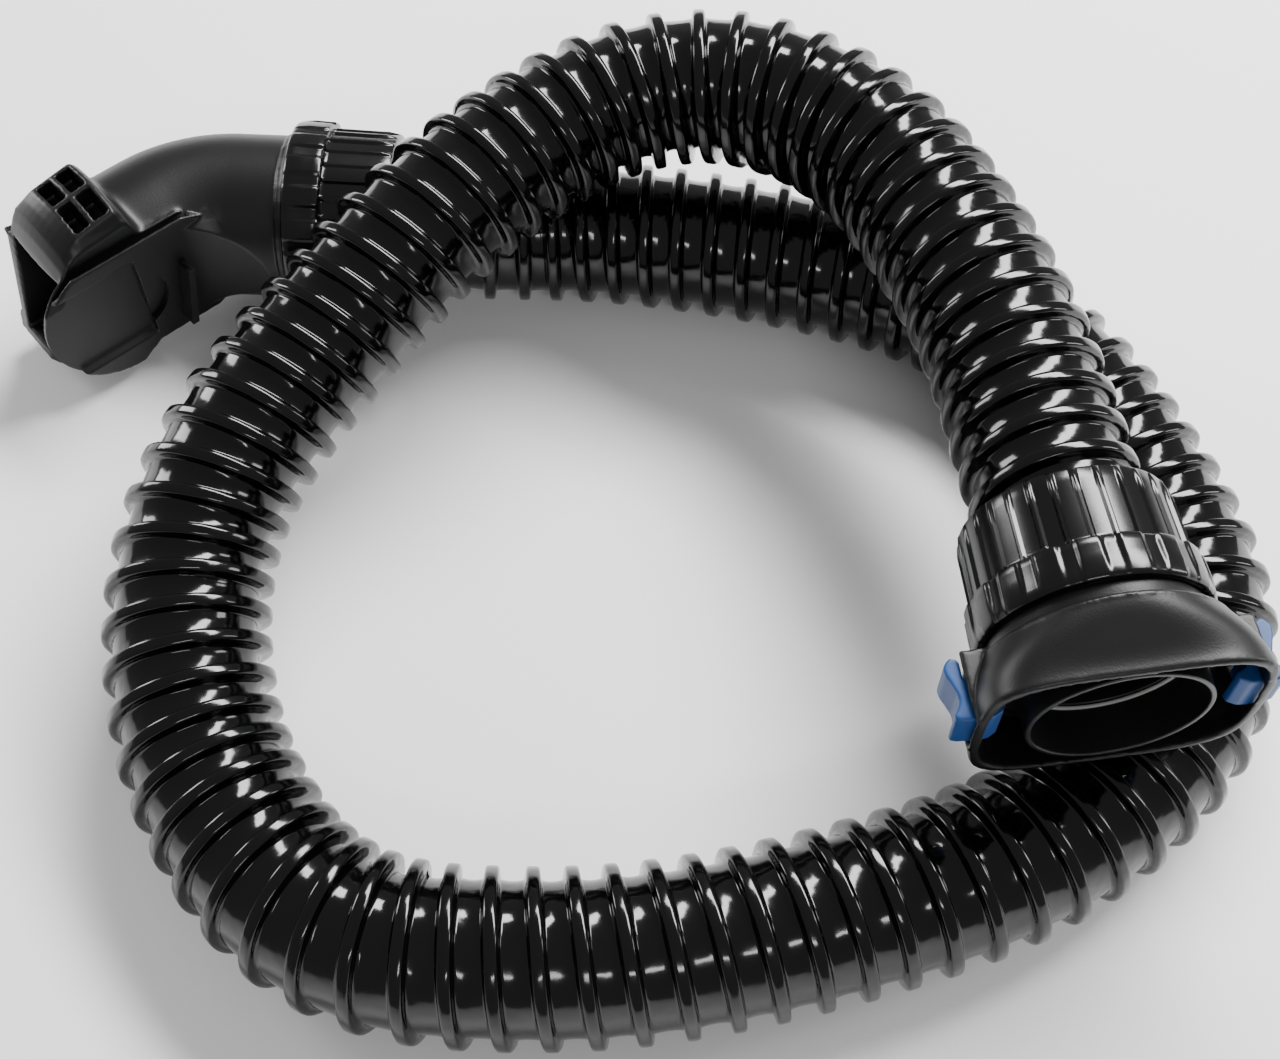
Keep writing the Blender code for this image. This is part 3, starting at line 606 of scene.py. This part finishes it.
def helix_row(route, turn, part, angles):
    """One row of the helix: around the hose, its distances along it and its radii."""
    phase = turn - 1.5 + angles / (2 * math.pi)
    centre = RIB_PITCH * phase
    for size, rate in RIB_WANDER:
        centre = centre + size * np.sin(rate * phase)
    stretch = route.stretch(centre, angles)
    squeeze = np.clip(1 - stretch, 0, 1)
    half = np.minimum(RIB_HALF_WIDTH / stretch, RIB_WIDEST)
    height = RIB_HEIGHT + squeeze * RIB_RISE_IN_BENDS
    height = height - np.clip(stretch - 1, 0, 1) * RIB_DROP_IN_BENDS
    web = 0.5 * HOSE_DIAMETER - height
    if part < len(RIB_SHAPE):
        share, rise = RIB_SHAPE[part]
        place = centre + share * half
        radius = web + rise * height
    else:
        share = WEB_SHAPE[part - len(RIB_SHAPE)]
        place = centre + half + share * (RIB_PITCH - 2 * half)
        radius = web - WEB_SAG * 4 * share * (1 - share) * (1 + 2 * squeeze)
    from_end = np.minimum(place, route.length - place)
    ribbed = ramp(from_end, start=PLAIN_END, run=PLAIN_END)
    radius = radius * ribbed + 0.5 * END_DIAMETER * (1 - ribbed)
    return np.clip(place, 0, route.length), radius


def skin_points(route, rows, angles):
    """The outer skin's points, row after row of the helix, and their distances along the hose."""
    points = []
    places = []
    for i in range(rows):
        turn, part = divmod(i, SECTION_POINTS)
        place, radius = helix_row(route, turn, part, angles)
        middle, across, above = route.at(place)
        ring = across * np.cos(angles)[:, None] + above * np.sin(angles)[:, None]
        points.append(middle + ring * radius[:, None])
        places.append(place)
    return np.concatenate(points), np.concatenate(places)


def skin_faces(rows, places, length):
    """The outer skin's faces. Each row's last point joins the first point one turn further on."""
    faces = []
    for i in range(rows - 1):
        for j in range(AROUND_HOSE):
            low = i * AROUND_HOSE + j
            if j + 1 < AROUND_HOSE:
                beside = low + 1
            elif i + 1 + SECTION_POINTS < rows:
                beside = (i + SECTION_POINTS) * AROUND_HOSE
            else:
                continue
            quad = (low, beside, beside + AROUND_HOSE, low + AROUND_HOSE)
            reach = places[list(quad)]
            if reach.max() > 0 and reach.min() < length:
                faces.append(quad)
    return faces


def bore_points(route, angles):
    """Rings of points along the bore, which widens towards both ends."""
    places = np.linspace(0, route.length, BORE_STEPS)
    middle, across, above = route.at(places)
    points = []
    for k in range(BORE_STEPS):
        from_end = min(places[k], route.length - places[k])
        narrowing = ramp(from_end, start=0, run=BORE_TAPER)
        radius = BORE_RADIUS_AT_ENDS + (BORE_RADIUS - BORE_RADIUS_AT_ENDS) * narrowing
        ring = across[k] * np.cos(angles)[:, None] + above[k] * np.sin(angles)[:, None]
        points.append(middle[k] + ring * radius)
    return np.concatenate(points)


def bore_faces(first):
    faces = []
    for k in range(BORE_STEPS - 1):
        low = first + k * AROUND_HOSE
        high = low + AROUND_HOSE
        for j in range(AROUND_HOSE):
            m = (j + 1) % AROUND_HOSE
            faces.append((low + j, high + j, high + m, low + m))
    return faces


def close_ends(obj, start, end):
    """Joins the doubled points at the ends and bridges the skin to the bore there."""
    work = bmesh.new()
    work.from_mesh(obj.data)
    bmesh.ops.remove_doubles(work, verts=work.verts, dist=SAME_POINT)
    bmesh.ops.dissolve_degenerate(work, edges=work.edges, dist=1e-7)
    loose = [v for v in work.verts if not v.link_faces]
    bmesh.ops.delete(work, geom=loose, context="VERTS")
    for place in (start, end):
        near = [e for e in work.edges if e.is_boundary]
        near = [e for e in near if (e.verts[0].co - Vector(place)).length < END_ZONE]
        bmesh.ops.bridge_loops(work, edges=near)
    bmesh.ops.recalc_face_normals(work, faces=work.faces)
    for face in work.faces:
        face.smooth = True
    work.to_mesh(obj.data)
    work.free()


def hose():
    """The ribbed hose as one closed skin: ribbed outside, end faces, and the bore inside."""
    route = HoseRoute()
    angles = np.linspace(0, 2 * math.pi, AROUND_HOSE, endpoint=False)
    rows = (int(route.length / RIB_PITCH) + 3) * SECTION_POINTS
    points, places = skin_points(route, rows, angles)
    faces = skin_faces(rows, places, route.length) + bore_faces(len(points))
    points = np.concatenate([points, bore_points(route, angles)])
    obj = make_object("hose_ribbed", points, faces, VINYL)
    close_ends(obj, route.line[0], route.line[-1])
    path = [tuple(p) for p in route.line[:: LINE_STEPS // CORD_STEPS]]
    path.append(tuple(route.line[-1]))
    return obj


# ---------------------------------------------------------------- the nuts


def bumps(angles, count, width, edge):
    """Flat-topped bumps around a circle: width is the share of the pitch, edge that of each flank."""
    turn = angles / (2 * math.pi) * count
    off = np.abs(turn - np.round(turn))
    return np.clip((width / 2 + edge - off) / edge, 0, 1)


def nut_grip(radius, distance, angles):
    """The small tier's narrow ribs and the large tier's broad lobes, which fade at the rim."""
    if distance < SMALL_TIER_END - 0.2 * MM:
        outside = 1.0 if radius > SMALL_TIER_SKIN else 0.0
        full = outside * ramp(distance, start=0.5 * MM, run=1.2 * MM)
        return full * GRIP_HEIGHT * bumps(angles, SMALL_RIBS, width=0.14, edge=0.08)
    if radius < LARGE_TIER_SKIN or distance < SMALL_TIER_END + 0.1 * MM:
        return 0 * angles
    full = 1 - 0.75 * ramp(distance, start=29 * MM, run=3 * MM)
    return full * GRIP_HEIGHT * bumps(angles, LARGE_LOBES, width=0.5, edge=0.1)


def nut(name, matrix):
    profile = in_metres(NUT_OUTSIDE + NUT_INSIDE)
    return turned(name, profile, matrix, GLOSS, segments=540, radius_at=nut_grip)


# ---------------------------------------------------------------- the coupling


def coupling_pipe():
    profile = rounded(in_metres(PIPE_PROFILE), 0.5 * MM)
    return turned("pipe_moulded", profile, COUPLING, SATIN, segments=160)


# The ring is given the pale nylon so that it shows as a thin bright line in the bore. This is a painted
# highlight in place of the glint on the bore's step.
def bore_ring():
    profile = rounded(in_metres(BORE_RING_PROFILE), 0.3 * MM)
    return turned("bore_ring_painted_highlight", profile, COUPLING, NYLON, segments=160, smooth_angle=60)


def housing():
    """The CAD housing with its outside drawn onto one smooth oval, and its edges softened."""
    obj = cad_copy("coupling_housing", "housing_moulded")
    remeshed(obj, HOUSING_VOXEL, rounds=3)
    marks, *measures = zip(*HOUSING_SECTIONS)
    fits = [np.polyfit(marks, values, 3) for values in measures]
    start, end = HOUSING_SMOOTHED
    back = COUPLING.inverted()
    for vertex in obj.data.vertices:
        place = back @ vertex.co
        along = place.z / MM
        if not start < along < end:
            continue
        half_width, half_height, power = (np.polyval(fit, along) for fit in fits)
        beside = abs(place.x / MM / half_width) ** power
        above = abs(place.y / MM / half_height) ** power
        reach = (beside + above) ** (1 / power)
        if abs(reach - 1) * half_height < HOUSING_CATCH:
            vertex.co = COUPLING @ Vector((place.x / reach, place.y / reach, place.z))
    relax(obj, rounds=5)
    obj.data.materials.append(SATIN)
    return obj


def pad(side):
    """A latch lever's blue finger pad, with its edges softened."""
    obj = cad_copy("latch_lever_" + side, "latch_pad_" + side)
    remeshed(obj, PAD_VOXEL, rounds=8)
    obj.data.materials.append(BLUE)
    return obj


# ---------------------------------------------------------------- the elbow


def arc(centre, radius, start, end, count):
    """Points on a circle from one angle to another, in degrees."""
    turns = [math.radians(start + (end - start) * i / count) for i in range(count + 1)]
    return [(centre[0] + radius * math.cos(a), centre[1] + radius * math.sin(a)) for a in turns]


def crescent():
    """The recess on the cheek, between the arcs of two circles."""
    outer = arc(centre=(38.5, 0), radius=12.5, start=154, end=317, count=20)
    inner = arc(centre=(46.6, 11), radius=19.5, start=271, end=198, count=12)
    return outer + inner


def tube_axis(place):
    """The nearest point of the elbow tube's axis, in the elbow's frame, and the tube's radius there."""
    reach = ELBOW_BEND_RADIUS * math.tan(ELBOW_ANGLE / 2)
    start = ELBOW_BEND_AT - reach
    if place.z < start:
        return Vector((0, 0, place.z)), TUBE_RADIUS
    angle = min(ELBOW_ANGLE, math.atan2(place.z - start, ELBOW_BEND_RADIUS - place.x))
    centre = Vector((ELBOW_BEND_RADIUS, 0, start))
    axis = centre - ELBOW_BEND_RADIUS * Vector((math.cos(angle), 0, -math.sin(angle)))
    if angle >= ELBOW_ANGLE:
        along = Vector((math.sin(angle), 0, math.cos(angle)))
        axis += along * along.dot(place - axis)
    return axis, TUBE_RADIUS + (BRANCH_RADIUS - TUBE_RADIUS) * angle / ELBOW_ANGLE


def round_the_tube(obj):
    """Draws the points that lie near the tube's surface onto it, but for those by the cheeks."""
    back = ELBOW.inverted()
    to_branch = BRANCH.inverted() @ ELBOW
    for vertex in obj.data.vertices:
        place = back @ vertex.co
        beside = to_branch @ place
        if place.z < COLLAR_END or beside.z > BRANCH_ROUND_END:
            continue
        if beside.z > CHEEK_START and abs(beside.x) > CHEEK_INNER:
            continue
        axis, radius = tube_axis(place)
        out = place - axis
        if abs(out.length - radius) < TUBE_CATCH:
            vertex.co = ELBOW @ (axis + out * (radius / out.length))


def flatten_the_sides(obj):
    """Presses the branch's bulging sides flush with the cheeks, wall and all."""
    back = BRANCH.inverted()
    to_elbow = ELBOW.inverted() @ BRANCH
    for vertex in obj.data.vertices:
        place = back @ vertex.co
        if place.z < FLAT_START:
            continue
        limit = CHEEK_OUTER + max(0.0, FLAT_FROM - place.z) ** 2 / (2 * FLAT_SWEEP)
        in_elbow = to_elbow @ place
        axis, radius = tube_axis(in_elbow)
        if (in_elbow - axis).length < radius - 0.5 * TUBE_WALL:
            limit -= TUBE_WALL
        if abs(place.x) > limit:
            place.x = math.copysign(limit, place.x)
            vertex.co = BRANCH @ place


def saddle(points):
    """Weighs the elbow's points: 1 on top of the branch just before the hood, 0 away from there."""
    back = BRANCH.inverted()
    across, height, along = (points @ np.array(back.to_3x3()).T + np.array(back.translation)).T
    after_bend = ramp(along, start=8 * MM, run=8 * MM)
    before_hood = ramp(HOOD_START - along, start=0, run=1.5 * MM)
    top = ramp(height, start=10 * MM, run=6 * MM)
    return after_bend * before_hood * top * (across < SADDLE_ACROSS)


def cut_mark(obj, name, outline):
    """Cuts a shallow mark with the given outline into the cheek."""
    floor = CHEEK_OUTER - MARK_DEPTH
    cut(obj, prism(name, in_metres(outline), floor, MARK_CUTTER_TOP, BRANCH))


def elbow():
    """The CAD elbow rounded off, with a groove behind its cheek and its marks cut anew."""
    obj = cad_copy("elbow_body", "elbow_moulded")
    cut(obj, prism("valley", in_metres(VALLEY), VALLEY_INNER, VALLEY_OUTER, BRANCH))
    remeshed(obj, ELBOW_VOXEL, rounds=3)
    round_the_tube(obj)
    flatten_the_sides(obj)
    relax(obj, rounds=60, weight=saddle)
    relax(obj, rounds=2)
    cut_mark(obj, "crescent", crescent())
    cut_mark(obj, "slot", SLOT)
    obj.data.shade_smooth()
    obj.data.set_sharp_from_angle(angle=math.radians(50))
    obj.data.materials.clear()
    obj.data.materials.append(SATIN)
    return obj


# ---------------------------------------------------------------- put together


def show(piece, body, slot, *nodes):
    """Puts a piece on its body, in place of the CAD nodes that it stands for. The slot is not used."""
    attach(piece, body)
    if nodes:
        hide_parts(*nodes)


def finish_node(node, mat):
    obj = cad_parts[node]
    obj.data.materials.clear()
    obj.data.materials.append(mat)


camera()
show(hose(), "hose", "hose_vinyl", "hose_tube")
studio()
show(nut("nut_by_coupling", COUPLING), "coupling_nut", "gloss_black", "coupling_nut")
show(nut("nut_by_elbow", ELBOW), "elbow_nut", "gloss_black", "elbow_nut")
show(coupling_pipe(), "hose", "satin_black", "coupling_pipe")
show(bore_ring(), "hose", "pale_plastic", "coupling_bore_seal")
show(housing(), "hose", "satin_black", "coupling_housing")
for side in ("left", "right"):
    show(pad(side), "latch_" + side, "blue_plastic", "latch_lever_" + side)
    finish_node("latch_pin_" + side, STEEL)
    finish_node("latch_spring_" + side, STEEL)
show(elbow(), "elbow", "satin_black", "elbow_body")
for end in ("coupling", "elbow"):
    finish_node(end + "_cuff", SATIN)
    finish_node(end + "_grip_ring", NYLON)
    finish_node(end + "_thrust_ring", NYLON)
    finish_node(end + "_gasket", RUBBER)
finish_node("coupling_clip", STEEL)

bpy.context.view_layer.update()
